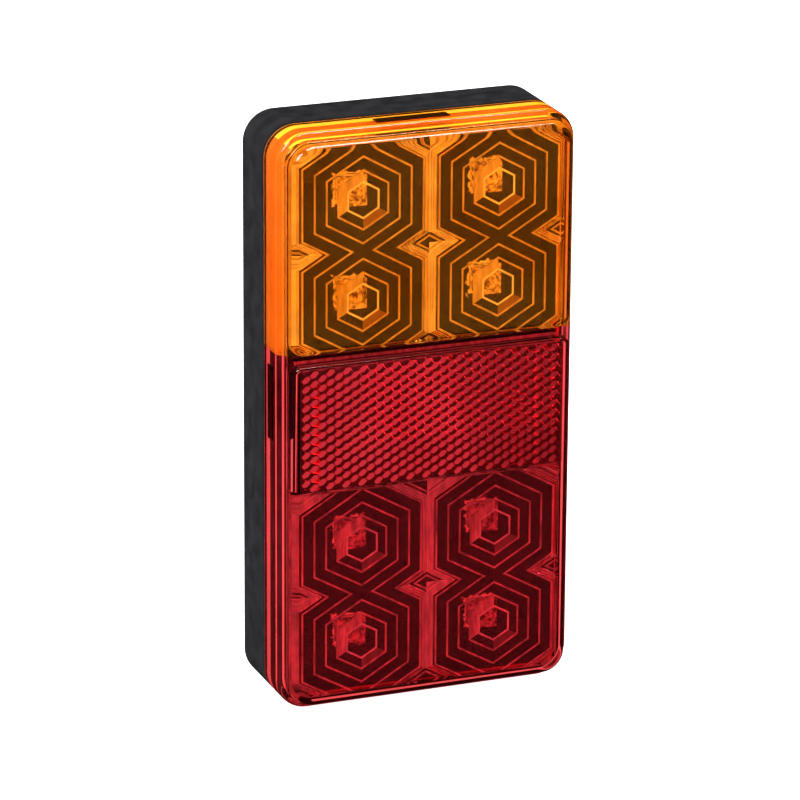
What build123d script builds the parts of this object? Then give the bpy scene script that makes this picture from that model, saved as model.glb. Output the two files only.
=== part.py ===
from build123d import *
import os
from itertools import product

# Trailer tail light: a black back shell, a two-colour lens welded over it, a reflex reflector
# across the middle and eight domed LEDs on one circuit board. Millimetres.
# X is to the right seen from the front, Z is up and the light faces -Y. The origin is the
# middle of the rear mounting face. A "depth" is a distance in front of that face.

# Overall sizes
WIDTH = 78.5
HEIGHT = 150.0
CORNER_R = 8.0
SEAT_DEPTH = 16.2  # where the back shell ends and the lens skirt begins
SKIRT_DEPTH = 25.5  # front of the lens skirt
CROWN_DEPTH = 30.5  # front of the raised part of the lens

# Back shell
SHELL_WALL = 3.2
REAR_WALL = 2.8
REAR_ROUND = 1.0
TONGUE_DEPTH = 21.2  # lip that stands up inside the lens skirt
SHADOW_GAP = 0.5  # step in the outer wall beside the lens
SHADOW_GAP_LENGTH = 1.7
SEAL_INSET = 0.9
SEAL_WIDTH = 0.8
SEAL_HEIGHT = 1.0
RELIEF_DEPTH = 1.0
RELIEF_WIDTH = 17.0
RELIEF_LENGTH = 58.0
RELIEF_X = 24.0
RELIEF_Z = 36.0
RELIEF_R = 3.0

# Snap catches on the lip, which show dark through the skirt
CATCH_LENGTH = 19.2
CATCH_HEIGHT = 3.1
CATCH_DEPTH = 17.8
CATCH_INSET = 1.0
CATCH_GAP = 0.2
CATCH_X = -1.9
CATCH_Z = 5.2

# Lens
LENS_WALL = 2.0
LENS_GAP = 0.2  # between the lens skirt and the shell's lip
SKIRT_ROUND = 1.0
CROWN_INSET = 1.75
CROWN_ROUND = 2.2
CROWN_INNER_R = 3.6  # crown corners beside the colour change
FLOOR_DEPTH = 27.9  # floor of the groove between the two crowns
FACE_WALL = 3.2
COLOUR_Z = 19.2
AMBER_CROWN_Z = 19.4
RED_CROWN_Z = 17.1

# Optic ribs behind the lens face: nested hexagons around each LED
COLUMN_X = 17.9
ROW_Z = (57.6, 31.7)
RIB_APOTHEMS = (3.97, 6.51, 9.53, 12.63, 15.81)
RIB_WIDTH = 0.8
RIB_HEIGHT = 0.6

# Reflex reflector and the plate that seals its cells
REFLEX_WIDTH = 69.6
REFLEX_HEIGHT = 32.0
REFLEX_FRONT = 30.1
REFLEX_THICKNESS = 2.8
REFLEX_GAP = 0.2
LEDGE = 1.2
BACKING_THICKNESS = 1.0
COLLAR_WALL = 1.0

# Circuit board
BOARD_WIDTH = 68.5
BOARD_HEIGHT = 140.0
BOARD_R = 4.0
BOARD_THICKNESS = 1.6
BOARD_REAR = 15.5
SCREW_X = 28.5
SCREW_Z = 63.0
SCREW_R = 1.25
SCREW_HEAD_R = 2.5
SCREW_HEAD_HEIGHT = 1.6
SCREW_LENGTH = 8.0
POST_R = 3.6
POST_HOLE_R = 1.3
BOARD_HOLE_R = 1.5

# LEDs, each on four pins
LED_SIZE = 7.6
LED_HEIGHT = 2.4
LED_STANDOFF = 0.5
LED_DOME_R = 2.5
LED_DOME_HEIGHT = 3.4
LED_CORNER_CUT = 1.2
PIN_PITCH = 5.08
PIN_SIZE = 0.5
PIN_LENGTH = 3.6
PIN_HOLE_R = 0.45

# Small parts on the board, behind the reflector
CHIP_SIZE = (6.0, 5.0, 1.6)
CHIP_XZ = (-14.0, 4.0)
RESISTOR_SIZE = (3.2, 1.6, 0.6)
RESISTOR_COUNT = 6
RESISTOR_PITCH = 5.0
RESISTOR_Z = -6.0
DIODE_SIZE = (4.3, 2.6, 2.2)
DIODE_COUNT = 3
DIODE_PITCH = 7.0
DIODE_X = 5.0
DIODE_Z = 5.0
TERMINAL_COUNT = 4
TERMINAL_PITCH = 4.0
TERMINAL_Z = -11.0
TERMINAL_R = 0.9
TERMINAL_LENGTH = 4.4
TERMINAL_REAR = 13.8

# Mounting studs, M5, one above the other
STUD_PITCH = 45.0
STUD_R = 2.5
STUD_NECK_R = 2.2  # unthreaded part inside the light
STUD_OUT = 25.0  # length that stands out behind the light
STUD_TIP_CUT = 0.6
STUD_HOLE_R = 2.7
STUD_HEAD_FLATS = 8.0
STUD_HEAD_HEIGHT = 3.5
STUD_HEAD_DEPTH = 7.4
HEAD_POCKET_GAP = 0.1
BOSS_R = 9.6
BOSS_DEPTH = 10.0
NUT_POCKET_R = 7.5
NUT_POCKET_DEPTH = 5.0
SEAL_WASHER_R = 5.5
SEAL_WASHER_BORE_R = 2.25
SEAL_WASHER_HEIGHT = 1.0
WASHER_R = 5.0
WASHER_HEIGHT = 0.9
PUSH_NUT_R = 4.8
PUSH_NUT_BORE_R = 2.25
PUSH_NUT_CONE_R = 3.6
PUSH_NUT_THICKNESS = 0.5
PUSH_NUT_RISE = 0.7
PUSH_NUT_SLOT = 0.7
PUSH_NUT_SLOTS = 4

# Cable outlet and breather
GROMMET_HOLE_R = 6.0
GROMMET_NECK_R = 5.9
GROMMET_FLANGE_R = 8.0
GROMMET_FLANGE = 1.5
GROMMET_SNOUT_R = 5.0
GROMMET_SNOUT = 9.0
CABLE_R = 3.5
VENT_X = 0.0
VENT_Z = -52.0
VENT_R = 5.0
VENT_THICKNESS = 0.6
VENT_POCKET_DEPTH = 1.0
VENT_HOLE_R = 1.5

STUD_Z = (STUD_PITCH / 2, -STUD_PITCH / 2)
BOARD_FRONT = BOARD_REAR + BOARD_THICKNESS
LED_BASE = BOARD_FRONT + LED_STANDOFF
FACE_DEPTH = CROWN_DEPTH - FACE_WALL  # inner side of the lens face
SHELF_DEPTH = FLOOR_DEPTH - LENS_WALL  # inner side of the groove floor
REFLEX_REAR = REFLEX_FRONT - REFLEX_THICKNESS
CROWN_TOP = HEIGHT / 2 - CROWN_INSET
CROWN_WIDTH = WIDTH - 2 * CROWN_INSET
FAR = 200.0  # longer than the light, for cutting it in two

os.makedirs("parts", exist_ok=True)


def save(name, *solids):
    """Writes the solids of one named piece."""
    shape = solids[0] if len(solids) == 1 else Compound(children=list(solids))
    shape.label = name
    export_step(shape, f"parts/{name}.step")


def block(outline, start, end):
    """Solid with an outline drawn as seen from the front, between two depths."""
    return extrude(Plane.XZ.offset(start) * outline, end - start)


def peg(x, z, radius, start, end):
    """Round bar along the depth axis."""
    return block(Pos(x, z) * Circle(radius), start, end)


def bar(x, z, width, height, start, end):
    """Rectangular bar along the depth axis."""
    return block(Pos(x, z) * Rectangle(width, height), start, end)


def hex_bar(x, z, flats, start, end):
    """Hexagonal bar along the depth axis, given its width across the flats."""
    hexagon = RegularPolygon(flats / 2, 6, major_radius=False)
    return block(Pos(x, z) * hexagon, start, end)


def light_outline(inset):
    """Outline of the light, drawn in all round by an inset."""
    return RectangleRounded(WIDTH - 2 * inset, HEIGHT - 2 * inset, CORNER_R - inset)


def crown_outline(low, high, low_r, high_r, inset):
    """Outline of one crown from its low edge to its high edge, drawn in by an inset."""
    width, height = CROWN_WIDTH - 2 * inset, high - low - 2 * inset
    outline = Pos(0, (low + high) / 2) * Rectangle(width, height)
    outline = fillet(outline.vertices().sort_by(Axis.Y)[:2], low_r - inset)
    return fillet(outline.vertices().sort_by(Axis.Y)[-2:], high_r - inset)


def round_end(solid, depth, radius):
    """Rounds the outer edges of the face at a depth."""
    face = solid.faces().filter_by(Axis.Y).sort_by(lambda f: abs(f.center().Y + depth))[0]
    return fillet(face.outer_wire().edges(), radius)


def catch_blocks(margin):
    """The four snap catches, grown by a margin; with no margin they reach into the lip."""
    inner = LENS_WALL + LENS_GAP + (SHELL_WALL - LENS_WALL) / 2 if margin == 0 else LENS_WALL + 0.5
    outer = CATCH_INSET - margin
    thick, middle = inner - outer, (inner + outer) / 2
    length = CATCH_LENGTH + 2 * margin
    start, end = CATCH_DEPTH - margin, CATCH_DEPTH + CATCH_HEIGHT + margin
    blocks = []
    for side in (-1, 1):
        blocks.append(bar(side * (WIDTH / 2 - middle), CATCH_Z, thick, length, start, end))
        blocks.append(bar(CATCH_X, side * (HEIGHT / 2 - middle), length, thick, start, end))
    return blocks


def make_housing():
    """Back shell with its lip, catches, stud bosses, board posts and rear pockets."""
    shell = round_end(block(light_outline(0), 0, SEAT_DEPTH), 0, REAR_ROUND)
    shell += block(light_outline(LENS_WALL + LENS_GAP), SEAT_DEPTH, TONGUE_DEPTH)
    shell -= block(light_outline(SHELL_WALL), REAR_WALL, TONGUE_DEPTH)
    step = light_outline(0) - light_outline(SHADOW_GAP)
    shell -= block(step, SEAT_DEPTH - SHADOW_GAP_LENGTH, SEAT_DEPTH)
    shell -= seal_ring(0)
    for catch in catch_blocks(0):
        shell += catch
    for z in STUD_Z:
        shell += peg(0, z, BOSS_R, 1, BOSS_DEPTH)
    for x, z in product((-SCREW_X, SCREW_X), (-SCREW_Z, SCREW_Z)):
        shell += peg(x, z, POST_R, 1, BOARD_REAR)
        shell -= peg(x, z, POST_HOLE_R, REAR_WALL, BOARD_REAR)
    for z in STUD_Z:
        pocket = STUD_HEAD_FLATS + 2 * HEAD_POCKET_GAP
        shell -= peg(0, z, NUT_POCKET_R, 0, NUT_POCKET_DEPTH)
        shell -= peg(0, z, STUD_HOLE_R, 0, BOSS_DEPTH)
        shell -= hex_bar(0, z, pocket, STUD_HEAD_DEPTH, BOSS_DEPTH)
    relief = RectangleRounded(RELIEF_WIDTH, RELIEF_LENGTH, RELIEF_R)
    for x, z in product((-RELIEF_X, RELIEF_X), (-RELIEF_Z, RELIEF_Z)):
        shell -= block(Pos(x, z) * relief, 0, RELIEF_DEPTH)
    shell -= peg(0, 0, GROMMET_HOLE_R, 0, REAR_WALL)
    shell -= peg(VENT_X, VENT_Z, VENT_R + 0.1, 0, VENT_POCKET_DEPTH)
    shell -= peg(VENT_X, VENT_Z, VENT_HOLE_R, 0, REAR_WALL)
    return shell


def seal_ring(gap):
    """Bead in the groove of the seat, with a gap to the groove's walls."""
    outer = light_outline(SEAL_INSET + gap)
    inner = light_outline(SEAL_INSET + SEAL_WIDTH - gap)
    return block(outer - inner, SEAT_DEPTH - SEAL_HEIGHT, SEAT_DEPTH)


def optic_ribs(side):
    """Hexagonal ribs behind one crown's face: side is 1 for amber and -1 for red."""
    half_width = RIB_APOTHEMS[-1] + RIB_WIDTH / 2
    low = AMBER_CROWN_Z + LENS_WALL if side > 0 else REFLEX_HEIGHT / 2 + COLLAR_WALL + 1
    high = CROWN_TOP - LENS_WALL
    ribs = []
    for column in (-COLUMN_X, COLUMN_X):
        window = Pos(column, side * (low + high) / 2) * Rectangle(2 * half_width, high - low)
        for apothem in RIB_APOTHEMS:
            outer, inner = [
                Sketch()
                + [
                    Pos(column, side * z)
                    * RegularPolygon(apothem + edge, 6, major_radius=False, rotation=30)
                    for z in ROW_Z
                ]
                for edge in (RIB_WIDTH / 2, -RIB_WIDTH / 2)
            ]
            ring = (outer - inner) & window
            ribs.append(block(ring, FACE_DEPTH - RIB_HEIGHT, FACE_DEPTH + 0.2))
    return ribs


def make_lenses():
    """The amber lens above the colour change and the red lens below it."""
    amber = (AMBER_CROWN_Z, CROWN_TOP, CROWN_INNER_R, CORNER_R - CROWN_INSET)
    red = (-CROWN_TOP, RED_CROWN_Z, CORNER_R - CROWN_INSET, CROWN_INNER_R)
    body = round_end(block(light_outline(0), SEAT_DEPTH, SKIRT_DEPTH), SKIRT_DEPTH, SKIRT_ROUND)
    body += block(light_outline(CROWN_INSET), SEAT_DEPTH, FLOOR_DEPTH)
    for crown in (amber, red):
        top = block(crown_outline(*crown, 0), SKIRT_DEPTH, CROWN_DEPTH)
        body += round_end(top, CROWN_DEPTH, CROWN_ROUND)
    body -= block(light_outline(LENS_WALL), SEAT_DEPTH, SKIRT_DEPTH - LENS_WALL)
    body -= block(light_outline(CROWN_INSET + LENS_WALL), SEAT_DEPTH, SHELF_DEPTH)
    for crown in (amber, red):
        body -= block(crown_outline(*crown, LENS_WALL), SEAT_DEPTH, FACE_DEPTH)
    for pocket in catch_blocks(CATCH_GAP):
        body -= pocket
    well = (REFLEX_WIDTH + 2 * REFLEX_GAP, REFLEX_HEIGHT + 2 * REFLEX_GAP)
    opening = (well[0] - 2 * LEDGE, well[1] - 2 * LEDGE)
    collar = (well[0] + 2 * COLLAR_WALL, well[1] + 2 * COLLAR_WALL)
    body += bar(0, 0, *collar, REFLEX_REAR - BACKING_THICKNESS, FACE_DEPTH + 0.2)
    body -= bar(0, 0, *well, REFLEX_REAR, CROWN_DEPTH)
    body -= bar(0, 0, *opening, REFLEX_REAR - BACKING_THICKNESS, REFLEX_REAR)
    halves = []
    for side in (1, -1):
        keep = bar(0, COLOUR_Z + side * FAR / 2, FAR, FAR, 0, FAR)
        half = body & keep
        for rib in optic_ribs(side):
            half += rib
        halves.append(half)
    return halves


def make_led(x, z):
    """LED body with a clipped corner and a domed top."""
    base = bar(x, z, LED_SIZE, LED_SIZE, LED_BASE, LED_BASE + LED_HEIGHT)
    upright = base.edges().filter_by(Axis.Y)
    marked = upright.sort_by(lambda e: e.center().X + e.center().Z)[0]
    base = chamfer(marked, LED_CORNER_CUT)
    stem_end = LED_BASE + LED_HEIGHT + LED_DOME_HEIGHT - LED_DOME_R
    stem = peg(x, z, LED_DOME_R, LED_BASE + 1, stem_end)
    return base + stem + Pos(x, -stem_end, z) * Sphere(LED_DOME_R)


def led_pin_places():
    """Every LED pin's X and Z."""
    for side, row, column in product((1, -1), ROW_Z, (-COLUMN_X, COLUMN_X)):
        for dx, dz in product((-PIN_PITCH / 2, PIN_PITCH / 2), repeat=2):
            yield column + dx, side * row + dz


def terminal_places():
    """X and Z of the four posts that the wires are soldered to."""
    first = -(TERMINAL_COUNT - 1) * TERMINAL_PITCH / 2
    return [(first + i * TERMINAL_PITCH, TERMINAL_Z) for i in range(TERMINAL_COUNT)]


def make_board():
    """Circuit board with its screw, pin and terminal holes."""
    outline = RectangleRounded(BOARD_WIDTH, BOARD_HEIGHT, BOARD_R)
    for x, z in product((-SCREW_X, SCREW_X), (-SCREW_Z, SCREW_Z)):
        outline -= Pos(x, z) * Circle(BOARD_HOLE_R)
    for x, z in led_pin_places():
        outline -= Pos(x, z) * Circle(PIN_HOLE_R)
    for x, z in terminal_places():
        outline -= Pos(x, z) * Circle(TERMINAL_R + 0.05)
    return block(outline, BOARD_REAR, BOARD_FRONT)


def make_board_screws():
    """Four pan-head screws that hold the board to its posts."""
    screws = []
    for x, z in product((-SCREW_X, SCREW_X), (-SCREW_Z, SCREW_Z)):
        head = peg(x, z, SCREW_HEAD_R, BOARD_FRONT, BOARD_FRONT + SCREW_HEAD_HEIGHT)
        head = round_end(head, BOARD_FRONT + SCREW_HEAD_HEIGHT, SCREW_HEAD_HEIGHT / 2)
        screws.append(head + peg(x, z, SCREW_R, BOARD_FRONT - SCREW_LENGTH, BOARD_FRONT + 0.5))
    return screws


def on_board(size, places):
    """Rectangular components standing on the front of the board."""
    width, height, thick = size
    return [bar(x, z, width, height, BOARD_FRONT, BOARD_FRONT + thick) for x, z in places]


def make_stud(z):
    """M5 stud with a plain neck and a hexagonal head inside the shell."""
    shank = peg(0, z, STUD_R, -STUD_OUT, 0)
    tip = shank.faces().sort_by(Axis.Y)[-1]
    shank = chamfer(tip.edges(), STUD_TIP_CUT)
    shank += peg(0, z, STUD_NECK_R, -1, STUD_HEAD_DEPTH + 1)
    head = hex_bar(0, z, STUD_HEAD_FLATS, STUD_HEAD_DEPTH, STUD_HEAD_DEPTH + STUD_HEAD_HEIGHT)
    return shank + head


def ring(z, outer, inner, start, height):
    """Washer around a stud."""
    return peg(0, z, outer, start, start + height) - peg(0, z, inner, start, start + height)


def make_push_nut(z, start):
    """Spring steel ring pressed onto a stud's neck: a flat rim and a slotted cone that grips."""
    inner, cone, rim = PUSH_NUT_BORE_R, PUSH_NUT_CONE_R, PUSH_NUT_R
    thick, rise = PUSH_NUT_THICKNESS, PUSH_NUT_RISE
    profile = [(cone, 0), (rim, 0), (rim, thick), (cone, thick), (inner, thick + rise), (inner, rise)]
    half = Polyline(*[(r, -start + h) for r, h in profile], close=True)
    nut = revolve(make_face(half), Axis.Y)
    for i in range(PUSH_NUT_SLOTS):
        slot = Pos(cone / 2, 0, 0) * Box(cone, FAR, PUSH_NUT_SLOT)
        nut -= Rot(0, 360 / PUSH_NUT_SLOTS * i, 0) * slot
    return Pos(0, 0, z) * nut


def make_grommet():
    """Rubber outlet for the cable: inner flange, neck and a tapered snout behind the light."""
    body = peg(0, 0, GROMMET_FLANGE_R, REAR_WALL, REAR_WALL + GROMMET_FLANGE)
    body += peg(0, 0, GROMMET_NECK_R, 0, REAR_WALL)
    wide = Plane.XZ * Circle(GROMMET_NECK_R)
    narrow = Plane.XZ.offset(-GROMMET_SNOUT) * Circle(GROMMET_SNOUT_R)
    body += loft([wide, narrow])
    return body - peg(0, 0, CABLE_R, -GROMMET_SNOUT, REAR_WALL + GROMMET_FLANGE)


save("housing", make_housing())
save("lens_seal", seal_ring(0.02))

amber_lens, red_lens = make_lenses()
save("amber_lens", amber_lens)
save("red_lens", red_lens)
save("reflex_reflector", bar(0, 0, REFLEX_WIDTH, REFLEX_HEIGHT, REFLEX_REAR, REFLEX_FRONT))
backing_width = REFLEX_WIDTH - 2 * LEDGE
backing_height = REFLEX_HEIGHT - 2 * LEDGE
backing = bar(0, 0, backing_width, backing_height, REFLEX_REAR - BACKING_THICKNESS, REFLEX_REAR)
save("reflex_backing_plate", backing)

save("circuit_board", make_board())
save("circuit_board_screws", *make_board_screws())
for colour, side in (("amber", 1), ("red", -1)):
    for i, (row, column) in enumerate(product(ROW_Z, (-COLUMN_X, COLUMN_X)), start=1):
        save(f"{colour}_led_{i}", make_led(column, side * row))
pins = [
    bar(x, z, PIN_SIZE, PIN_SIZE, LED_BASE - PIN_LENGTH, LED_BASE) for x, z in led_pin_places()
]
save("led_pins", *pins)
save("led_driver_chip", *on_board(CHIP_SIZE, [CHIP_XZ]))
resistor_places = [
    ((i - (RESISTOR_COUNT - 1) / 2) * RESISTOR_PITCH, RESISTOR_Z) for i in range(RESISTOR_COUNT)
]
save("chip_resistors", *on_board(RESISTOR_SIZE, resistor_places))
diode_places = [(DIODE_X + i * DIODE_PITCH, DIODE_Z) for i in range(DIODE_COUNT)]
save("protection_diodes", *on_board(DIODE_SIZE, diode_places))
terminals = [
    peg(x, z, TERMINAL_R, TERMINAL_REAR, TERMINAL_REAR + TERMINAL_LENGTH)
    for x, z in terminal_places()
]
save("wire_terminals", *terminals)

for name, z in zip(("upper", "lower"), STUD_Z):
    save(f"{name}_mounting_stud", make_stud(z))
seal_start = NUT_POCKET_DEPTH - SEAL_WASHER_HEIGHT
washer_start = seal_start - WASHER_HEIGHT
seals = [
    ring(z, SEAL_WASHER_R, SEAL_WASHER_BORE_R, seal_start, SEAL_WASHER_HEIGHT) for z in STUD_Z
]
save("stud_seal_washers", *seals)
washers = [ring(z, WASHER_R, STUD_HOLE_R, washer_start, WASHER_HEIGHT) for z in STUD_Z]
save("stud_flat_washers", *washers)
save("stud_push_nuts", *[make_push_nut(z, washer_start) for z in STUD_Z])

save("cable_grommet", make_grommet())
vent_start = VENT_POCKET_DEPTH - VENT_THICKNESS
save("breather_vent", peg(VENT_X, VENT_Z, VENT_R, vent_start, VENT_POCKET_DEPTH))
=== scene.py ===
import math

import bmesh
import bpy
from mathutils import Matrix, Vector
from mathutils.geometry import delaunay_2d_cdt


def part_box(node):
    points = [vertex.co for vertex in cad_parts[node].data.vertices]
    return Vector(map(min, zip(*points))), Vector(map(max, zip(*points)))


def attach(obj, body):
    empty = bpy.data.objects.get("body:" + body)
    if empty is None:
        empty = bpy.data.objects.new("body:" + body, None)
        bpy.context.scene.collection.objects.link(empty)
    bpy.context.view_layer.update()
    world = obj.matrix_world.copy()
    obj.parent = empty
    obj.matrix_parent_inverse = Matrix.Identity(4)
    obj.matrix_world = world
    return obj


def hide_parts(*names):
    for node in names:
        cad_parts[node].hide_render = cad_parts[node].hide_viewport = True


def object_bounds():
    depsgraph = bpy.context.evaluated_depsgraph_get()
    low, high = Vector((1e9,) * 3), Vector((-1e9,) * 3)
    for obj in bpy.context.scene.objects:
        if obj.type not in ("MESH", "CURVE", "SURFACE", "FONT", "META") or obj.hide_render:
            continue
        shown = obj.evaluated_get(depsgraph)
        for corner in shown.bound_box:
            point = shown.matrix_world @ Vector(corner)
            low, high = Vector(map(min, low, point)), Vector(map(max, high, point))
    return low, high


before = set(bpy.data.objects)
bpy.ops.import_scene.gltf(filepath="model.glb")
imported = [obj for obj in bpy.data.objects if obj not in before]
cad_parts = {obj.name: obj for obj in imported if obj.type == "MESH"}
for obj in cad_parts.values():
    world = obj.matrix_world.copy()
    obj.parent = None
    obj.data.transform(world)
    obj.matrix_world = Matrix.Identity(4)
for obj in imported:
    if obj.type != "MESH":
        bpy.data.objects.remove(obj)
cad_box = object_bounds()

# Looks of a two-colour LED trailer light: clear lens mouldings, a corner-cube reflector and finishes.
# Meshes are drawn in millimetres and scaled to metres. A "depth" is a distance in front of the rear
# mounting face, so it is -Y. An "inset" is a distance inwards from the light's own outline.
MM = 0.001


def node_box(node):
    """Lowest and highest corner of a CAD node, in millimetres."""
    low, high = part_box(node)
    return low / MM, high / MM


_, shell_high = node_box("housing")
amber_low, amber_high = node_box("amber_lens")
reflex_low, reflex_high = node_box("reflex_reflector")
HALF_W, HALF_H = shell_high.x, shell_high.z
SEAT_DEPTH = -amber_high.y
CROWN_DEPTH = -amber_low.y
COLOUR_Z = amber_low.z

# Lens skirt, which meets the shell
OUTER_R = 8.0
SKIRT_DEPTH = 25.5
SKIRT_WALL = 2.0
SKIRT_INNER_DEPTH = 23.5
SKIRT_ROUND = 1.0
REAR_BAND = 2.6  # bands of painted highlight along the rear and front edges of the skirt's inside
FRONT_BAND = 1.0
SHELF_DEPTH = 25.5  # narrow shelf inside the lens, round the crowns' hollows
SHELF_INSET = 3.8  # the shelf's outer edge

# Low step that the two crowns stand on
BASE_INSET = 1.75
BASE_ROUND = 0.3
GROOVE_DEPTH = 27.9  # floor of the groove between the two crowns

# Crowns. Their "near" edges are the ones beside the groove.
CROWN_INSET = 2.1
CROWN_WALL = 1.8
CROWN_ROUND = 2.0
FACE_WALL = 3.2
AMBER_CROWN_Z = 19.4
RED_CROWN_Z = 17.1
AMBER_NEAR_R = 3.6
RED_NEAR_R = 2.6
NEAR_TAPER = {"amber": 0.6, "red": 0.3}  # rounding of the near edge, as a share of the other edges'

# Hollows behind the crowns' faces, and the opening that the reflector sits in
SPLIT_WALL = 0.4  # wall of the amber crown beside the groove
AMBER_SOCKET_R = 1.8
RED_SOCKET_R = 1.0
REFLEX_WALL = 1.1  # between the red hollow and the reflector
WELL_GAP = 0.2
WELL_R = 0.3
LEDGE_TOP = 17.4  # height of the etched ledge over the reflector, with its faint painted glow
LEDGE_GAP = 0.1  # how far the ledge's edge stops short of the crown's wall
SPLIT_GAP = 0.02  # half the parting between the two colours

# Optics behind the lens face
COLUMN_X = 17.9
ROW_Z = (57.6, 31.7)
MIDDLE_Z = sum(ROW_Z) / 2
RIB_APOTHEMS = (3.97, 6.51, 9.53, 12.63, 15.81, 18.6)
RIB_HALF = 0.26
RIB_HEIGHT = 0.3
TILE_APOTHEM = 16.2  # where the flank between neighbouring cells begins
TILE_SLOPE = 1.2
TILE_TOP = 17.9
SCORE_APOTHEMS = (16.55, 17.05, 17.55)  # fine lines scored along the flanks
SCORE_HALF = 0.11
PAINTED_LIGHT_APOTHEM = 16.5  # where a flank with painted light begins
SPOKE_START = 4.0  # creases that run out from the corners of each LED's rings
SPOKE_END = 40.0
FIELD_MARGIN = 0.25  # the optics stop this far inside the hollow's box
TRIM_MARGIN = 0.2  # and this far inside its outline
TINY = 1e-6  # a crease with less than this share of itself left is dropped
TIE = 1e-7  # lets a crease that lies right on a border count as inside it

# Solder lands on the board, around each LED
LAND_HALF = 3.9
LAND_RAGGED = 4.0  # width of the band that their ragged edge wanders in

# Materials of each lens moulding, in slot order. All but the clear and wall slots carry painted light: a faint
# glow on the etched faces, highlight bands along the skirt's edges, painted shade, painted lit faces and a
# glowing top rim.
CLEAR, ETCHED, WALL, PAINTED_RIM_LIGHT, PAINTED_SHADE, PAINTED_LIGHT, PAINTED_TOP_LIGHT = range(7)

CORNER_STEPS = 14
FILLET_STEPS = 6
BASE_STEPS = 3
MERGE = 1e-4  # points closer than this are one point, in millimetres
LENS_SHARP = 35  # edges of the lens that turn by more than this many degrees look sharp


# ---------------------------------------------------------------- mesh helpers


def outline(half_w, low, high, low_r, high_r):
    """Points round a rounded rectangle, with one radius for its low corners and one for its high corners."""
    corners = (
        (half_w - low_r, low + low_r, low_r, -90),
        (half_w - high_r, high - high_r, high_r, 0),
        (high_r - half_w, high - high_r, high_r, 90),
        (low_r - half_w, low + low_r, low_r, 180),
    )
    points = []
    for x, z, radius, start in corners:
        for i in range(CORNER_STEPS + 1):
            angle = math.radians(start + 90 * i / CORNER_STEPS)
            points.append((x + radius * math.cos(angle), z + radius * math.sin(angle)))
    return points


def light_outline(inset):
    """The light's own outline, drawn in by an inset."""
    radius = OUTER_R - inset
    return outline(HALF_W - inset, inset - HALF_H, HALF_H - inset, radius, radius)


def fillet_profile(inset, depth, radius, steps=FILLET_STEPS):
    """Insets and depths round a front edge whose side is at an inset and whose face is at a depth."""
    profile = []
    for i in range(steps + 1):
        angle = math.pi / 2 * i / steps
        profile.append((inset + radius * (1 - math.cos(angle)), depth - radius * (1 - math.sin(angle))))
    return profile


def add_loop(bm, points, depth):
    """Vertices of an outline at a depth."""
    return [bm.verts.new((x, -depth, z)) for x, z in points]


def bridge(bm, first, second, material=CLEAR, smooth=True):
    """Faces between two loops with the same number of points. A rim band along the light's top gets a strong
    painted glow, which stands in for light from above.
    """
    for i in range(len(first)):
        j = (i + 1) % len(first)
        face = bm.faces.new((first[i], first[j], second[j], second[i]))
        on_top = min(first[i].co.z, first[j].co.z) > HALF_H - OUTER_R / 2
        face.material_index = PAINTED_TOP_LIGHT if material == PAINTED_RIM_LIGHT and on_top else material
        face.smooth = smooth


def inside(point, polygon):
    """Whether a point is inside a polygon."""
    x, z = point
    hit = False
    for i, (x1, z1) in enumerate(polygon):
        x2, z2 = polygon[i - 1]
        if (z1 > z) != (z2 > z) and x < (x2 - x1) * (z - z1) / (z2 - z1) + x1:
            hit = not hit
    return hit


def fill(bm, outer, holes=(), lines=(), depth_at=None, material_at=None):
    """Fills the region between an outer loop and its holes, cut along the lines.

    depth_at gives the depth of each new vertex, and material_at each triangle's material. A region
    that is cut along lines needs depth_at.
    """
    loops = [outer, *holes]
    known = [v for loop in loops for v in loop]
    points = [Vector((v.co.x, v.co.z)) for v in known]
    edges, start = [], 0
    for loop in loops:
        edges += [(start + i, start + (i + 1) % len(loop)) for i in range(len(loop))]
        start += len(loop)
    for a, b in lines:
        edges.append((len(points), len(points) + 1))
        points += [Vector(a), Vector(b)]
    verts, _, faces, origins, _, _ = delaunay_2d_cdt(points, edges, [], 0, MERGE)
    made = []
    for co, origin in zip(verts, origins):
        old = [i for i in origin if i < len(known)]
        made.append(known[old[0]] if old else bm.verts.new((co.x, -depth_at(co.x, co.y), co.y)))
    polygons = [[(v.co.x, v.co.z) for v in loop] for loop in loops]
    for corners in faces:
        centre = sum((verts[i] for i in corners), Vector((0, 0))) / len(corners)
        if not inside(centre, polygons[0]) or any(inside(centre, p) for p in polygons[1:]):
            continue
        face = bm.faces.new([made[i] for i in corners])
        if material_at:
            face.material_index = material_at(centre.x, centre.y)
    for v in [v for v in made if not v.link_faces]:
        bm.verts.remove(v)


def finish_mesh(bm, name, materials, replaces=(), smooth_angle=None):
    """Turns a bmesh into a piece of the light, in metres, riding on its one body."""
    bmesh.ops.recalc_face_normals(bm, faces=bm.faces)
    mesh = bpy.data.meshes.new(name)
    bmesh.ops.scale(bm, vec=(MM, MM, MM), verts=bm.verts)
    bm.to_mesh(mesh)
    bm.free()
    if smooth_angle is not None:
        mesh.shade_smooth()
        mesh.set_sharp_from_angle(angle=math.radians(smooth_angle))
    for material in materials:
        mesh.materials.append(material)
    piece = bpy.data.objects.new(name, mesh)
    bpy.context.scene.collection.objects.link(piece)
    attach(piece, "root")
    if replaces:
        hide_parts(*replaces)
    return piece


# ------------------------------------------------------------------- materials


ACRYLIC_IOR = 1.49
ROUGH_SPREAD = 0.06  # how far a surface's roughness strays either way
ETCH_STRETCH = (2, 1, 0.4)  # draws the etched grain out upwards


def new_material(name):
    """A node material with its Principled shader, as (material, nodes, links, shader)."""
    material = bpy.data.materials.new(name)
    material.use_nodes = True
    nodes, links = material.node_tree.nodes, material.node_tree.links
    return material, nodes, links, nodes["Principled BSDF"]


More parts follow.
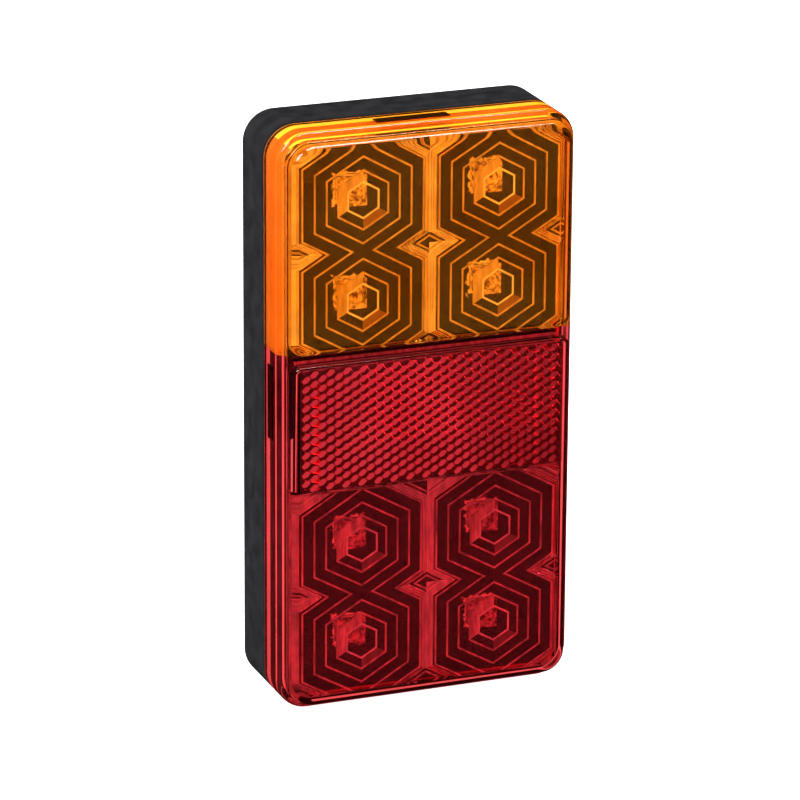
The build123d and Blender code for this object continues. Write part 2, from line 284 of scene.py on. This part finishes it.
def noise(nodes, scale, detail=3.0, roughness=0.5):
    """Noise over the object's own coordinates."""
    texture = nodes.new("ShaderNodeTexNoise")
    texture.inputs["Scale"].default_value = scale
    texture.inputs["Detail"].default_value = detail
    texture.inputs["Roughness"].default_value = roughness
    return texture


def place(nodes, links, *textures):
    """Feeds the object's coordinates to textures."""
    coordinates = nodes.new("ShaderNodeTexCoord")
    for texture in textures:
        links.new(coordinates.outputs["Object"], texture.inputs["Vector"])


def remap(nodes, links, source, low, high, out_low, out_high):
    """A value stretched from one range to another."""
    node = nodes.new("ShaderNodeMapRange")
    for socket, value in zip(("From Min", "From Max", "To Min", "To Max"), (low, high, out_low, out_high)):
        node.inputs[socket].default_value = value
    links.new(source, node.inputs["Value"])
    return node.outputs["Result"]


def ramp(nodes, links, source, low_colour, high_colour, low=0.35, high=0.65):
    """Two colours mixed by a value."""
    node = nodes.new("ShaderNodeValToRGB")
    node.color_ramp.elements[0].position = low
    node.color_ramp.elements[1].position = high
    node.color_ramp.elements[0].color = (*low_colour, 1)
    node.color_ramp.elements[1].color = (*high_colour, 1)
    links.new(source, node.inputs["Fac"])
    return node.outputs["Color"]


def add_bump(nodes, links, shader, source, strength, distance):
    """Small relief from a height."""
    node = nodes.new("ShaderNodeBump")
    node.inputs["Strength"].default_value = strength
    node.inputs["Distance"].default_value = distance
    links.new(source, node.inputs["Height"])
    links.new(node.outputs["Normal"], shader.inputs["Normal"])


def surface(name, dark, light, rough, grain, bump=0.15, bump_size=0.00004, metal=0.0, glow=0.0):
    """An opaque material with mottled colour, uneven gloss and fine grain. A glow, where one is given, is
    painted light.
    """
    material, nodes, links, shader = new_material(name)
    broad, fine = noise(nodes, grain / 8), noise(nodes, grain, 6)
    place(nodes, links, broad, fine)
    colour = ramp(nodes, links, broad.outputs["Fac"], dark, light)
    links.new(colour, shader.inputs["Base Color"])
    links.new(colour, shader.inputs["Emission Color"])
    shader.inputs["Emission Strength"].default_value = glow
    gloss = remap(nodes, links, broad.outputs["Fac"], 0.3, 0.7, rough - ROUGH_SPREAD, rough + ROUGH_SPREAD)
    links.new(gloss, shader.inputs["Roughness"])
    add_bump(nodes, links, shader, fine.outputs["Fac"], bump, bump_size)
    shader.inputs["Metallic"].default_value = metal
    return material


def clear_plastic(name, dark, light, painted_glow=(0, 0, 0)):
    """Tinted clear acrylic with faint waviness and gloss changes. It can give off a colour as a painted glow.
    """
    material, nodes, links, shader = new_material(name)
    tint, wave = noise(nodes, 35), noise(nodes, 90, 2)
    place(nodes, links, tint, wave)
    links.new(ramp(nodes, links, tint.outputs["Fac"], dark, light), shader.inputs["Base Color"])
    links.new(remap(nodes, links, wave.outputs["Fac"], 0.4, 0.8, 0.0, 0.03), shader.inputs["Roughness"])
    add_bump(nodes, links, shader, wave.outputs["Fac"], 0.03, 0.0001)
    shader.inputs["Transmission Weight"].default_value = 1.0
    shader.inputs["IOR"].default_value = ACRYLIC_IOR
    shader.inputs["Emission Color"].default_value = (*painted_glow, 1)
    shader.inputs["Emission Strength"].default_value = 1
    return material


def frosted_plastic(name, dark, light, glow=0.0):
    """Matte faces on the inside of the lens, etched with an upright grain. Some give off a painted glow."""
    material, nodes, links, shader = new_material(name)
    speckle = noise(nodes, 350, 6, 0.6)
    coordinates, stretch = nodes.new("ShaderNodeTexCoord"), nodes.new("ShaderNodeMapping")
    stretch.inputs["Scale"].default_value = ETCH_STRETCH
    links.new(coordinates.outputs["Object"], stretch.inputs["Vector"])
    links.new(stretch.outputs["Vector"], speckle.inputs["Vector"])
    links.new(ramp(nodes, links, speckle.outputs["Fac"], dark, light, 0.3, 0.7), shader.inputs["Base Color"])
    links.new(remap(nodes, links, speckle.outputs["Fac"], 0.3, 0.7, 0.35, 0.55), shader.inputs["Roughness"])
    add_bump(nodes, links, shader, speckle.outputs["Fac"], 0.3, 0.00005)
    shader.inputs["Specular IOR Level"].default_value = 0.2
    shader.inputs["Emission Color"].default_value = (*light, 1)
    shader.inputs["Emission Strength"].default_value = glow
    return material


def board_surface():
    """Black solder mask with faint tracks, and ragged speckled solder lands around every LED. The board gives
    off its own colour as a painted glow, which shows on the bright lands.
    """
    material, nodes, links, shader = new_material("board_black")
    tracks, speckle = noise(nodes, 180, 2), noise(nodes, 700, 4)
    place(nodes, links, tracks, speckle)
    coordinates, split = nodes.new("ShaderNodeTexCoord"), nodes.new("ShaderNodeSeparateXYZ")
    links.new(coordinates.outputs["Object"], split.inputs[0])

    def fold(source, centre):
        """Signed and plain distance from a centre line or its mirror image, whichever is nearer."""
        mirror, shift, size = (nodes.new("ShaderNodeMath") for _ in range(3))
        mirror.operation, shift.operation, size.operation = "ABSOLUTE", "SUBTRACT", "ABSOLUTE"
        shift.inputs[1].default_value = centre * MM
        links.new(source, mirror.inputs[0])
        links.new(mirror.outputs[0], shift.inputs[0])
        links.new(shift.outputs[0], size.inputs[0])
        return shift.outputs[0], size.outputs[0]

    _, across = fold(split.outputs["X"], COLUMN_X)
    row, _ = fold(split.outputs["Z"], MIDDLE_Z)
    _, along = fold(row, (ROW_Z[0] - ROW_Z[1]) / 2)
    far = nodes.new("ShaderNodeMath")
    far.operation = "MAXIMUM"
    links.new(across, far.inputs[0])
    links.new(along, far.inputs[1])
    ragged = nodes.new("ShaderNodeMath")
    ragged.operation = "MULTIPLY_ADD"
    ragged.inputs[1].default_value = LAND_RAGGED * MM
    links.new(speckle.outputs["Fac"], ragged.inputs[0])
    links.new(far.outputs[0], ragged.inputs[2])
    edge = LAND_HALF + LAND_RAGGED / 2
    land = remap(nodes, links, ragged.outputs[0], (edge + 0.3) * MM, (edge - 0.2) * MM, 0, 1)
    mix = nodes.new("ShaderNodeMix")
    mix.data_type = "RGBA"
    links.new(land, mix.inputs["Factor"])
    mask = ramp(nodes, links, tracks.outputs["Fac"], (0.002, 0.002, 0.002), (0.010, 0.009, 0.009))
    solder = ramp(nodes, links, speckle.outputs["Fac"], (1.0, 0.9, 0.7), (0.45, 0.35, 0.25), 0.5, 0.7)
    links.new(mask, mix.inputs["A"])
    links.new(solder, mix.inputs["B"])
    links.new(mix.outputs["Result"], shader.inputs["Base Color"])
    # The lands and the mask give off their own colour as a painted glow
    links.new(mix.outputs["Result"], shader.inputs["Emission Color"])
    shader.inputs["Emission Strength"].default_value = 0.7
    shader.inputs["Specular IOR Level"].default_value = 0.15
    shader.inputs["Roughness"].default_value = 0.5
    add_bump(nodes, links, shader, speckle.outputs["Fac"], 0.2, 0.0001)
    return material


shell_black = surface("shell_black", (0.012, 0.012, 0.014), (0.018, 0.018, 0.021), 0.42, 1800, bump=0.25)
rubber_black = surface("rubber_black", (0.012, 0.012, 0.012), (0.022, 0.022, 0.022), 0.7, 900, bump=0.3)
board_black = board_surface()
chip_black = surface("chip_black", (0.012, 0.012, 0.013), (0.02, 0.02, 0.021), 0.5, 2500)
backing_black = surface("backing_black", (0.015, 0.015, 0.016), (0.03, 0.03, 0.03), 0.45, 1200)
membrane = surface("membrane", (0.62, 0.62, 0.6), (0.75, 0.75, 0.72), 0.8, 3000)
resistor = surface("resistor", (0.02, 0.02, 0.022), (0.05, 0.05, 0.05), 0.35, 2500)
black_oxide = surface("black_oxide", (0.008, 0.008, 0.008), (0.014, 0.014, 0.014), 0.6, 1500)

# Metals are only half metallic, because the surround doesn't show in glossy reflections
METAL = {"bump": 0.1, "bump_size": 0.00002, "metal": 0.5}
zinc = surface("zinc", (0.42, 0.42, 0.41), (0.56, 0.56, 0.54), 0.3, 1200, **METAL)
tin = surface("tin", (0.6, 0.6, 0.58), (0.78, 0.78, 0.76), 0.3, 1500, **METAL)
brass = surface("brass", (0.55, 0.42, 0.2), (0.72, 0.56, 0.28), 0.3, 1500, **METAL)

EPOXY = {"bump": 0.6, "bump_size": 0.0004}
# The LEDs are unlit; the glow that they give off is painted light.
led_amber = surface("led_amber", (0.12, 0.05, 0.02), (1.0, 0.95, 0.6), 0.2, 7000, glow=0.9, **EPOXY)
led_red = surface("led_red", (0.04, 0.02, 0.02), (1.0, 0.8, 0.8), 0.2, 7000, glow=0.5, **EPOXY)

amber_clear = clear_plastic("amber_clear", (0.88, 0.24, 0.01), (0.98, 0.35, 0.035))
red_clear = clear_plastic("red_clear", (0.56, 0.026, 0.036), (0.74, 0.036, 0.05))
# The reflector gives off a faint red painted glow
reflex_clear = clear_plastic(
    "reflex_clear", (0.80, 0.026, 0.04), (0.90, 0.04, 0.055), painted_glow=(0.010, 0.001, 0.0012)
)

# Etched faces give off a faint painted glow. The rim and top-rim bands and the bright faces are painted light,
# and the dim faces are painted shade.
amber_etched_glow = frosted_plastic("amber_etched_glow", (0.55, 0.34, 0.15), (1.0, 0.72, 0.32), glow=0.06)
amber_wall = frosted_plastic("amber_wall", (0.85, 0.36, 0.24), (1.0, 0.46, 0.3))
amber_painted_rim_light = frosted_plastic("amber_painted_rim_light", (0.85, 0.42, 0.3), (0.95, 0.5, 0.4), glow=0.12)
amber_painted_shade = frosted_plastic("amber_painted_shade", (0.3, 0.16, 0.1), (0.45, 0.24, 0.14))
amber_painted_light = frosted_plastic("amber_painted_light", (0.7, 0.45, 0.18), (1.0, 0.85, 0.4), glow=0.3)
amber_painted_top_light = frosted_plastic("amber_painted_top_light", (1.0, 0.75, 0.15), (1.0, 0.85, 0.2), glow=1.3)
red_etched_glow = frosted_plastic("red_etched_glow", (0.28, 0.14, 0.15), (1.0, 0.5, 0.52), glow=0.06)
red_wall = frosted_plastic("red_wall", (0.06, 0.08, 0.08), (0.16, 0.18, 0.18))
red_painted_rim_light = frosted_plastic("red_painted_rim_light", (0.95, 0.6, 0.55), (1.0, 0.7, 0.6), glow=0.5)
red_painted_shade = frosted_plastic("red_painted_shade", (0.2, 0.16, 0.16), (0.32, 0.24, 0.24))
red_painted_light = frosted_plastic("red_painted_light", (0.4, 0.18, 0.2), (1.0, 0.5, 0.54), glow=0.16)
# The red lens has no top edge, so it has no top rim with painted light
AMBER_MATERIALS = [amber_clear, amber_etched_glow, amber_wall, amber_painted_rim_light, amber_painted_shade, amber_painted_light, amber_painted_top_light]
RED_MATERIALS = [red_clear, red_etched_glow, red_wall, red_painted_rim_light, red_painted_shade, red_painted_light]


# ------------------------------------------------------------------------ lens


def hex_distance(x, z):
    """Apothem of the hexagon round the origin that passes through a point. A corner is on top."""
    slant = 0.5 * abs(x) + math.sqrt(0.75) * abs(z)
    return max(abs(x), slant)


def cell_distance(x, z):
    """The same round the nearest LED."""
    return min(hex_distance(abs(x) - COLUMN_X, abs(z) - row) for row in ROW_Z)


def relief(x, z):
    """How far the optics stand out behind the lens face."""
    distance = cell_distance(x, z)
    flank = TILE_SLOPE * max(0, min(distance, TILE_TOP) - TILE_APOTHEM)
    ribs = [RIB_HEIGHT * (1 - abs(distance - apothem) / RIB_HALF) for apothem in RIB_APOTHEMS]
    return flank + max(0, *ribs)


def optic_material(x, z):
    """Material of the optics at a point.

    Ribs and scored lines are etched, with a first rib in painted light. Flanks that face left and upper left
    get painted light. The first terrace is etched on its left and upper left as painted light, and has
    painted shade at its lower right. The rest is clear.
    """
    distance = cell_distance(x, z)
    if abs(distance - RIB_APOTHEMS[0]) < RIB_HALF:
        return PAINTED_LIGHT
    if min(abs(distance - apothem) for apothem in RIB_APOTHEMS) < RIB_HALF:
        return ETCHED
    if min(abs(distance - apothem) for apothem in SCORE_APOTHEMS) < SCORE_HALF:
        return ETCHED
    across = x - math.copysign(COLUMN_X, x)
    middle = math.copysign(MIDDLE_Z, z)
    along = (z - middle) - math.copysign((ROW_Z[0] - ROW_Z[1]) / 2, z - middle)
    beside = abs(across) >= 0.5 * abs(across) + math.sqrt(0.75) * abs(along)
    on_left = across < 0 and beside
    up_left = across < 0 and along > 0 and not beside
    # Painted light on the left and upper left and painted shade at the lower right, as light from the upper
    # left would fall
    if RIB_APOTHEMS[0] < distance < RIB_APOTHEMS[1]:
        down_right = across > 0 and along < 0 and not beside
        return ETCHED if on_left or up_left else PAINTED_SHADE if down_right else CLEAR
    if on_left and PAINTED_LIGHT_APOTHEM < distance < TILE_TOP or up_left and distance > PAINTED_LIGHT_APOTHEM:
        return PAINTED_LIGHT
    return CLEAR


def clip_line(a, b, keep):
    """The part of a line where every function in keep is positive; each one is linear along the line."""
    start, end = 0.0, 1.0
    for test in keep:
        first, last = test(a), test(b)
        if first <= 0 and last <= 0:
            return None
        if first < 0:
            start = max(start, first / (first - last))
        elif last < 0:
            end = min(end, first / (first - last))
    if end - start < TINY:
        return None
    step = b - a
    return a + step * start, a + step * end


def optic_lines(side, half_w, low, high):
    """Every crease of the optics of one colour, inside a box: side is 1 for amber and -1 for red.

    Each LED's creases stop halfway to its neighbours, where theirs begin.
    """
    box_tests = [
        lambda p: half_w - p.x,
        lambda p: p.x + half_w,
        lambda p: p.y - low,
        lambda p: high - p.y,
    ]
    offsets = [apothem + edge for apothem in RIB_APOTHEMS for edge in (-RIB_HALF, 0, RIB_HALF)]
    offsets += [TILE_APOTHEM, PAINTED_LIGHT_APOTHEM, TILE_TOP]
    offsets += [apothem + edge for apothem in SCORE_APOTHEMS for edge in (-SCORE_HALF, SCORE_HALF)]
    angles = [math.radians(30 + 60 * i) for i in range(6)]
    corners = [Vector((math.cos(angle), math.sin(angle))) for angle in angles]
    lines = []
    for column in (-COLUMN_X, COLUMN_X):
        for row in ROW_Z:
            centre = Vector((column, side * row))
            outward = 1 if row > MIDDLE_Z else -1
            own_row = lambda p, o=outward: o * (side * p.y - MIDDLE_Z) + TIE
            own_column = lambda p, c=column: p.x * math.copysign(1, c) + TIE
            for apothem in offsets:
                ring = [centre + corner * (apothem / math.cos(math.radians(30))) for corner in corners]
                lines += [(ring[i - 1], ring[i], own_row, own_column) for i in range(6)]
            for corner in corners:
                start, end = centre + corner * SPOKE_START, centre + corner * SPOKE_END
                lines.append((start, end, own_row, own_column))
    kept = [clip_line(a, b, [*tests, *box_tests]) for a, b, *tests in lines]
    kept.append((Vector((-half_w, side * MIDDLE_Z)), Vector((half_w, side * MIDDLE_Z))))
    kept.append((Vector((0, low)), Vector((0, high))))
    return [line for line in kept if line]


def crown_shape(colour, inset):
    """Outline of one crown, drawn in by an inset. The edge beside the groove moves in less."""
    near = inset * NEAR_TAPER[colour]
    half_w = HALF_W - CROWN_INSET - inset
    far_r = OUTER_R - CROWN_INSET - inset
    if colour == "amber":
        low, high = AMBER_CROWN_Z + near, HALF_H - CROWN_INSET - inset
        return outline(half_w, low, high, AMBER_NEAR_R - inset, far_r)
    low, high = CROWN_INSET + inset - HALF_H, RED_CROWN_Z - near
    return outline(half_w, low, high, far_r, RED_NEAR_R - inset)


def socket_outline(colour):
    """Outline of the hollow behind one crown's face."""
    half_w = HALF_W - CROWN_INSET - CROWN_WALL
    edge = HALF_H - CROWN_INSET - CROWN_WALL
    radius = OUTER_R - CROWN_INSET - CROWN_WALL
    if colour == "amber":
        return outline(half_w, AMBER_CROWN_Z + SPLIT_WALL, edge, AMBER_SOCKET_R, radius)
    return outline(half_w, -edge, reflex_low.z - REFLEX_WALL, radius, RED_SOCKET_R)


def well_outline():
    """Outline of the opening that the reflector sits in."""
    low, high = reflex_low.z - WELL_GAP, reflex_high.z + WELL_GAP
    return outline(reflex_high.x + WELL_GAP, low, high, WELL_R, WELL_R)


def add_outside(bm):
    """The skirt's outside and the low step, from the seat to the groove's floor, as loops."""
    skirt = [(0, SEAT_DEPTH)] + fillet_profile(0, SKIRT_DEPTH, SKIRT_ROUND)
    base = [(BASE_INSET, SKIRT_DEPTH)] + fillet_profile(BASE_INSET, GROOVE_DEPTH, BASE_ROUND, BASE_STEPS)
    loops = [add_loop(bm, light_outline(inset), depth) for inset, depth in skirt + base]
    for first, second in zip(loops, loops[1:]):
        bridge(bm, first, second)
    return loops


def add_inside(bm, seat):
    """The seat's flat face and the skirt's inside, as loops from the seat to the shelf."""
    profile = [
        (SKIRT_WALL, SEAT_DEPTH, PAINTED_RIM_LIGHT),
        (SKIRT_WALL, SEAT_DEPTH + REAR_BAND, WALL),
        (SKIRT_WALL, SKIRT_INNER_DEPTH - FRONT_BAND, PAINTED_RIM_LIGHT),
        (SKIRT_WALL + FRONT_BAND / 2, SKIRT_INNER_DEPTH, CLEAR),
        (SHELF_INSET, SKIRT_INNER_DEPTH, CLEAR),
        (SHELF_INSET, SHELF_DEPTH, CLEAR),
    ]
    loops = [add_loop(bm, light_outline(inset), depth) for inset, depth, _ in profile]
    bridge(bm, seat, loops[0], ETCHED, False)
    for first, second, (_, _, material) in zip(loops, loops[1:], profile):
        bridge(bm, first, second, material, False)
    return loops


def add_crown(bm, colour):
    """One crown's outside, as loops from the groove's floor to the face."""
    rise = [(0, GROOVE_DEPTH)] + fillet_profile(0, CROWN_DEPTH, CROWN_ROUND)
    loops = [add_loop(bm, crown_shape(colour, inset), depth) for inset, depth in rise]
    for first, second in zip(loops, loops[1:]):
        bridge(bm, first, second)
    return loops


def add_socket(bm, colour):
    """The hollow behind one crown, with its optics. Returns its loop on the shelf."""
    face_depth = CROWN_DEPTH - FACE_WALL
    points = socket_outline(colour)
    low_loop, high_loop = add_loop(bm, points, SHELF_DEPTH), add_loop(bm, points, face_depth)
    bridge(bm, low_loop, high_loop, ETCHED, False)
    side = 1 if colour == "amber" else -1
    xs, zs = zip(*points)
    lines = optic_lines(side, max(xs) - FIELD_MARGIN, min(zs) + FIELD_MARGIN, max(zs) - FIELD_MARGIN)
    fill(
        bm, high_loop, lines=trim_to(lines, points, TRIM_MARGIN),
        depth_at=lambda x, z: face_depth - relief(x, z),
        material_at=optic_material,
    )
    return low_loop


def make_lens_body():
    """The whole lens as one closed shell, before it is parted at the colour change."""
    bm = bmesh.new()
    outer = add_outside(bm)
    inner = add_inside(bm, outer[0])
    crowns, sockets = [], []
    for colour in ("amber", "red"):
        crowns.append(add_crown(bm, colour))
        sockets.append(add_socket(bm, colour))
    well = [add_loop(bm, well_outline(), depth) for depth in (SHELF_DEPTH, CROWN_DEPTH)]
    bridge(bm, well[0], well[1], CLEAR, False)
    fill(bm, crowns[0][-1])
    fill(bm, crowns[1][-1], [well[1]])
    fill(bm, outer[-1], [crowns[0][0], crowns[1][0]])
    ledge_half = HALF_W - CROWN_INSET - CROWN_WALL - LEDGE_GAP
    fill(
        bm, inner[-1], [*sockets, well[0]],
        [(Vector((-ledge_half, LEDGE_TOP)), Vector((ledge_half, LEDGE_TOP)))],
        depth_at=lambda x, z: SHELF_DEPTH,
        material_at=lambda x, z: ETCHED if reflex_high.z < z < LEDGE_TOP else CLEAR,
    )
    return bm


def trim_to(lines, polygon, margin):
    """Lines cut back so that they stay a margin inside a convex polygon."""
    count = len(polygon)
    centre = Vector((sum(x for x, _ in polygon) / count, sum(z for _, z in polygon) / count))
    tests = []
    for i, point in enumerate(polygon):
        a, b = Vector(polygon[i - 1]), Vector(point)
        along = b - a
        if along.length < MERGE / 10:
            continue
        normal = Vector((-along.y, along.x)).normalized()
        if (centre - a).dot(normal) < 0:
            normal = -normal
        tests.append(lambda p, a=a, n=normal: (p - a).dot(n) - margin)
    return [line for line in (clip_line(a, b, tests) for a, b in lines) if line]


def half_of(bm, keep_above):
    """The part of a closed shell above or below the colour change, capped."""
    half = bm.copy()
    level = COLOUR_Z + (SPLIT_GAP if keep_above else -SPLIT_GAP)
    geometry = half.verts[:] + half.edges[:] + half.faces[:]
    cut = bmesh.ops.bisect_plane(
        half, geom=geometry, plane_co=(0, 0, level), plane_no=(0, 0, 1), dist=MERGE / 10,
        clear_inner=keep_above, clear_outer=not keep_above,
    )
    rim = [e for e in cut["geom_cut"] if isinstance(e, bmesh.types.BMEdge) and e.is_boundary]
    bmesh.ops.triangle_fill(half, use_beauty=True, use_dissolve=False, edges=rim)
    bmesh.ops.remove_doubles(half, verts=half.verts, dist=MERGE)
    return half


def make_lenses():
    """The amber and the red lens."""
    whole = make_lens_body()
    for colour, materials in (("amber", AMBER_MATERIALS), ("red", RED_MATERIALS)):
        half = half_of(whole, colour == "amber")
        finish_mesh(
            half, f"{colour}_lens_moulding", materials, [f"{colour}_lens"], LENS_SHARP,
        )
    whole.free()


# ------------------------------------------------------------------- reflector

CUBE_PITCH = 2.46  # height between corner-cube cells in one column
CUBE_SKIN = 0.7  # plastic in front of the cells
SPARE_CELLS = 4  # rows and columns beyond the reflector's size, which are cut away
FIRST_COLUMN = 2  # the grid starts this many columns to the left of the reflector
FIRST_ROW = 1.5  # and this many rows below it
SIDE_FACING = 0.95  # a face whose normal lies this much along X or Z belongs to the reflector's sides


def add_cube_grid(bm, low, high):
    """Corner cubes over more than the reflector's size, as one sheet.

    The grid's points lie at three levels, never at the same one as a neighbour, so every triangle is
    half a face of a cube that stands on its corner.
    """
    edge = CUBE_PITCH / math.sqrt(3)
    row_step = CUBE_PITCH / 2
    level_step = edge / math.sqrt(2)
    rows = math.ceil((high.z - low.z) / row_step) + SPARE_CELLS
    columns = math.ceil((high.x - low.x) / edge) + SPARE_CELLS
    grid = []
    for j in range(rows):
        line = []
        for i in range(columns):
            x = low.x + (i - FIRST_COLUMN + 0.5 * (j % 2)) * edge
            z = low.z + (j - FIRST_ROW) * row_step
            level = (i - j // 2 - j) % 3
            line.append(bm.verts.new((x, low.y + CUBE_SKIN + level * level_step, z)))
        grid.append(line)
    for j in range(rows - 1):
        for i in range(columns - 1):
            a, b = grid[j][i], grid[j][i + 1]
            c, d = grid[j + 1][i], grid[j + 1][i + 1]
            pair = ((a, b, c), (b, d, c)) if j % 2 == 0 else ((a, b, d), (a, d, c))
            for corners in pair:
                bm.faces.new(corners)


def make_reflector():
    """Reflex reflector: a flat front with full corner cubes on the back."""
    low, high = reflex_low, reflex_high
    bm = bmesh.new()
    add_cube_grid(bm, low, high)
    for axis, place_at, sign in ((0, low.x, -1), (0, high.x, 1), (2, low.z, -1), (2, high.z, 1)):
        point, normal = Vector((0, 0, 0)), Vector((0, 0, 0))
        point[axis], normal[axis] = place_at, sign
        geometry = bm.verts[:] + bm.edges[:] + bm.faces[:]
        bmesh.ops.bisect_plane(bm, geom=geometry, plane_co=point, plane_no=normal, dist=MERGE, clear_outer=True)
    rim = [e for e in bm.edges if e.is_boundary]
    grown = bmesh.ops.extrude_edge_only(bm, edges=rim)["geom"]
    for v in grown:
        if isinstance(v, bmesh.types.BMVert):
            v.co.y = low.y
    front_edges = [e for e in grown if isinstance(e, bmesh.types.BMEdge) and e.is_boundary]
    bmesh.ops.triangle_fill(bm, use_beauty=True, use_dissolve=True, edges=front_edges)
    bmesh.ops.recalc_face_normals(bm, faces=bm.faces)
    for face in bm.faces:
        face.material_index = int(max(abs(face.normal.x), abs(face.normal.z)) > SIDE_FACING)
    finish_mesh(bm, "reflex_prisms", [reflex_clear, red_wall], ["reflex_reflector"])


# --------------------------------------------------------------- CAD materials

NODE_MATERIALS = {
    "housing": shell_black,
    "lens_seal": rubber_black,
    "reflex_backing_plate": backing_black,
    "circuit_board": board_black,
    "circuit_board_screws": black_oxide,
    "led_pins": tin,
    "led_driver_chip": chip_black,
    "chip_resistors": resistor,
    "protection_diodes": chip_black,
    "wire_terminals": brass,
    "upper_mounting_stud": zinc,
    "lower_mounting_stud": zinc,
    "stud_seal_washers": rubber_black,
    "stud_flat_washers": zinc,
    "stud_push_nuts": zinc,
    "cable_grommet": rubber_black,
    "breather_vent": membrane,
}
for colour, material in (("amber", led_amber), ("red", led_red)):
    for number in range(1, 5):
        NODE_MATERIALS[f"{colour}_led_{number}"] = material


def dress_cad_nodes():
    """Gives every CAD node that stays its own finish."""
    for name, material in NODE_MATERIALS.items():
        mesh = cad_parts[name].data
        mesh.materials.clear()
        mesh.materials.append(material)


# ------------------------------------------------------- camera, light and floor

# Camera: angles in degrees, places in metres, focal length and sensor in millimetres
CAMERA_YAW = 21.43  # towards the light's left, seen from the front
CAMERA_PITCH = 18.8
CAMERA_ROLL = 0.39
CAMERA_DISTANCE = 1.2392
CAMERA_RIGHT = -0.00237  # small shift sideways and upwards, without turning
CAMERA_UP = -0.00033
CAMERA_LENS = 222.16
SENSOR_WIDTH = 36
TARGET = Vector((0, -0.0147, 0))

FLOOR_HALF = 12.0
FLOOR_GAP = 0.0002  # between the light's lowest point and the floor
KEY_POWER = 22
GLINT_POWER = 11


def make_camera():
    """Camera above the light and to the left of its front, at the viewing angle."""
    yaw, pitch, roll = (math.radians(a) for a in (CAMERA_YAW, CAMERA_PITCH, CAMERA_ROLL))
    back = Vector((-math.sin(yaw) * math.cos(pitch), -math.cos(yaw) * math.cos(pitch), math.sin(pitch)))
    level = Vector((math.cos(yaw), -math.sin(yaw), 0))
    upright = back.cross(level)
    right = level * math.cos(roll) + upright * math.sin(roll)
    up = upright * math.cos(roll) - level * math.sin(roll)
    camera = bpy.data.objects.new("camera", bpy.data.cameras.new("camera"))
    camera.data.lens = CAMERA_LENS
    camera.data.sensor_width = SENSOR_WIDTH
    camera.data.clip_start = 0.05
    camera.data.clip_end = 50
    place_at = TARGET + back * CAMERA_DISTANCE + right * CAMERA_RIGHT + up * CAMERA_UP
    turn = Matrix((right, up, back)).transposed().to_4x4()
    camera.matrix_world = Matrix.Translation(place_at) @ turn
    bpy.context.scene.collection.objects.link(camera)
    bpy.context.scene.camera = camera


def make_area_light(name, place_at, target, size, power, size_y=None, glints_only=False):
    """Soft rectangular light aimed at a point. One that only glints lights no matte surface."""
    data = bpy.data.lights.new(name, "AREA")
    data.shape = "RECTANGLE"
    data.size, data.size_y = size, size_y or size
    data.energy = power
    lamp = bpy.data.objects.new(name, data)
    lamp.visible_diffuse = not glints_only
    lamp.location = place_at
    lamp.rotation_mode = "QUATERNION"
    lamp.rotation_quaternion = (Vector(target) - Vector(place_at)).to_track_quat("-Z", "Y")
    bpy.context.scene.collection.objects.link(lamp)


def make_world():
    """White studio surround, bright overhead and dimmer in front of the light and below it.

    Glossy surfaces don't mirror it.
    """
    world = bpy.data.worlds.new("studio")
    bpy.context.scene.world = world
    world.use_nodes = True
    world.cycles_visibility.glossy = False
    nodes, links = world.node_tree.nodes, world.node_tree.links
    background = nodes["Background"]
    coordinates = nodes.new("ShaderNodeTexCoord")
    split = nodes.new("ShaderNodeSeparateXYZ")
    links.new(coordinates.outputs["Generated"], split.inputs[0])
    height = remap(nodes, links, split.outputs["Z"], -0.12, 0.2, 0.05, 1)
    front = remap(nodes, links, split.outputs["Y"], -0.95, -0.4, 0.65, 1)
    both = nodes.new("ShaderNodeMath")
    both.operation = "MULTIPLY"
    links.new(height, both.inputs[0])
    links.new(front, both.inputs[1])
    links.new(both.outputs[0], background.inputs["Color"])
    background.inputs["Strength"].default_value = 1.0


def make_floor():
    """Plain white floor under the light, with a glow of its own so that it stays even."""
    material, nodes, links, shader = new_material("floor_white")
    mottle = noise(nodes, 3)
    place(nodes, links, mottle)
    tone = ramp(nodes, links, mottle.outputs["Fac"], (0.9, 0.9, 0.9), (0.93, 0.93, 0.93))
    links.new(tone, shader.inputs["Base Color"])
    shader.inputs["Roughness"].default_value = 0.9
    shader.inputs["Specular IOR Level"].default_value = 0.0
    shader.inputs["Emission Color"].default_value = (1, 1, 1, 1)
    shader.inputs["Emission Strength"].default_value = 1.0
    mesh = bpy.data.meshes.new("floor")
    level = cad_box[0].z - FLOOR_GAP
    corners = [(x * FLOOR_HALF, y * FLOOR_HALF, level) for x, y in ((-1, -1), (1, -1), (1, 1), (-1, 1))]
    mesh.from_pydata(corners, [], [(0, 1, 2, 3)])
    mesh.materials.append(material)
    floor = bpy.data.objects.new("floor", mesh)
    floor.visible_glossy = False
    bpy.context.scene.collection.objects.link(floor)


make_lenses()
make_reflector()
dress_cad_nodes()
make_camera()
make_world()
make_floor()
make_area_light("key", (-0.9, -0.7, 0.9), (0, 0, 0), 0.7, KEY_POWER)
make_area_light("top", (0.15, -0.15, 1.0), (0, 0, 0), 0.8, GLINT_POWER, size_y=0.25, glints_only=True)
bpy.context.scene.view_settings.view_transform = "Standard"
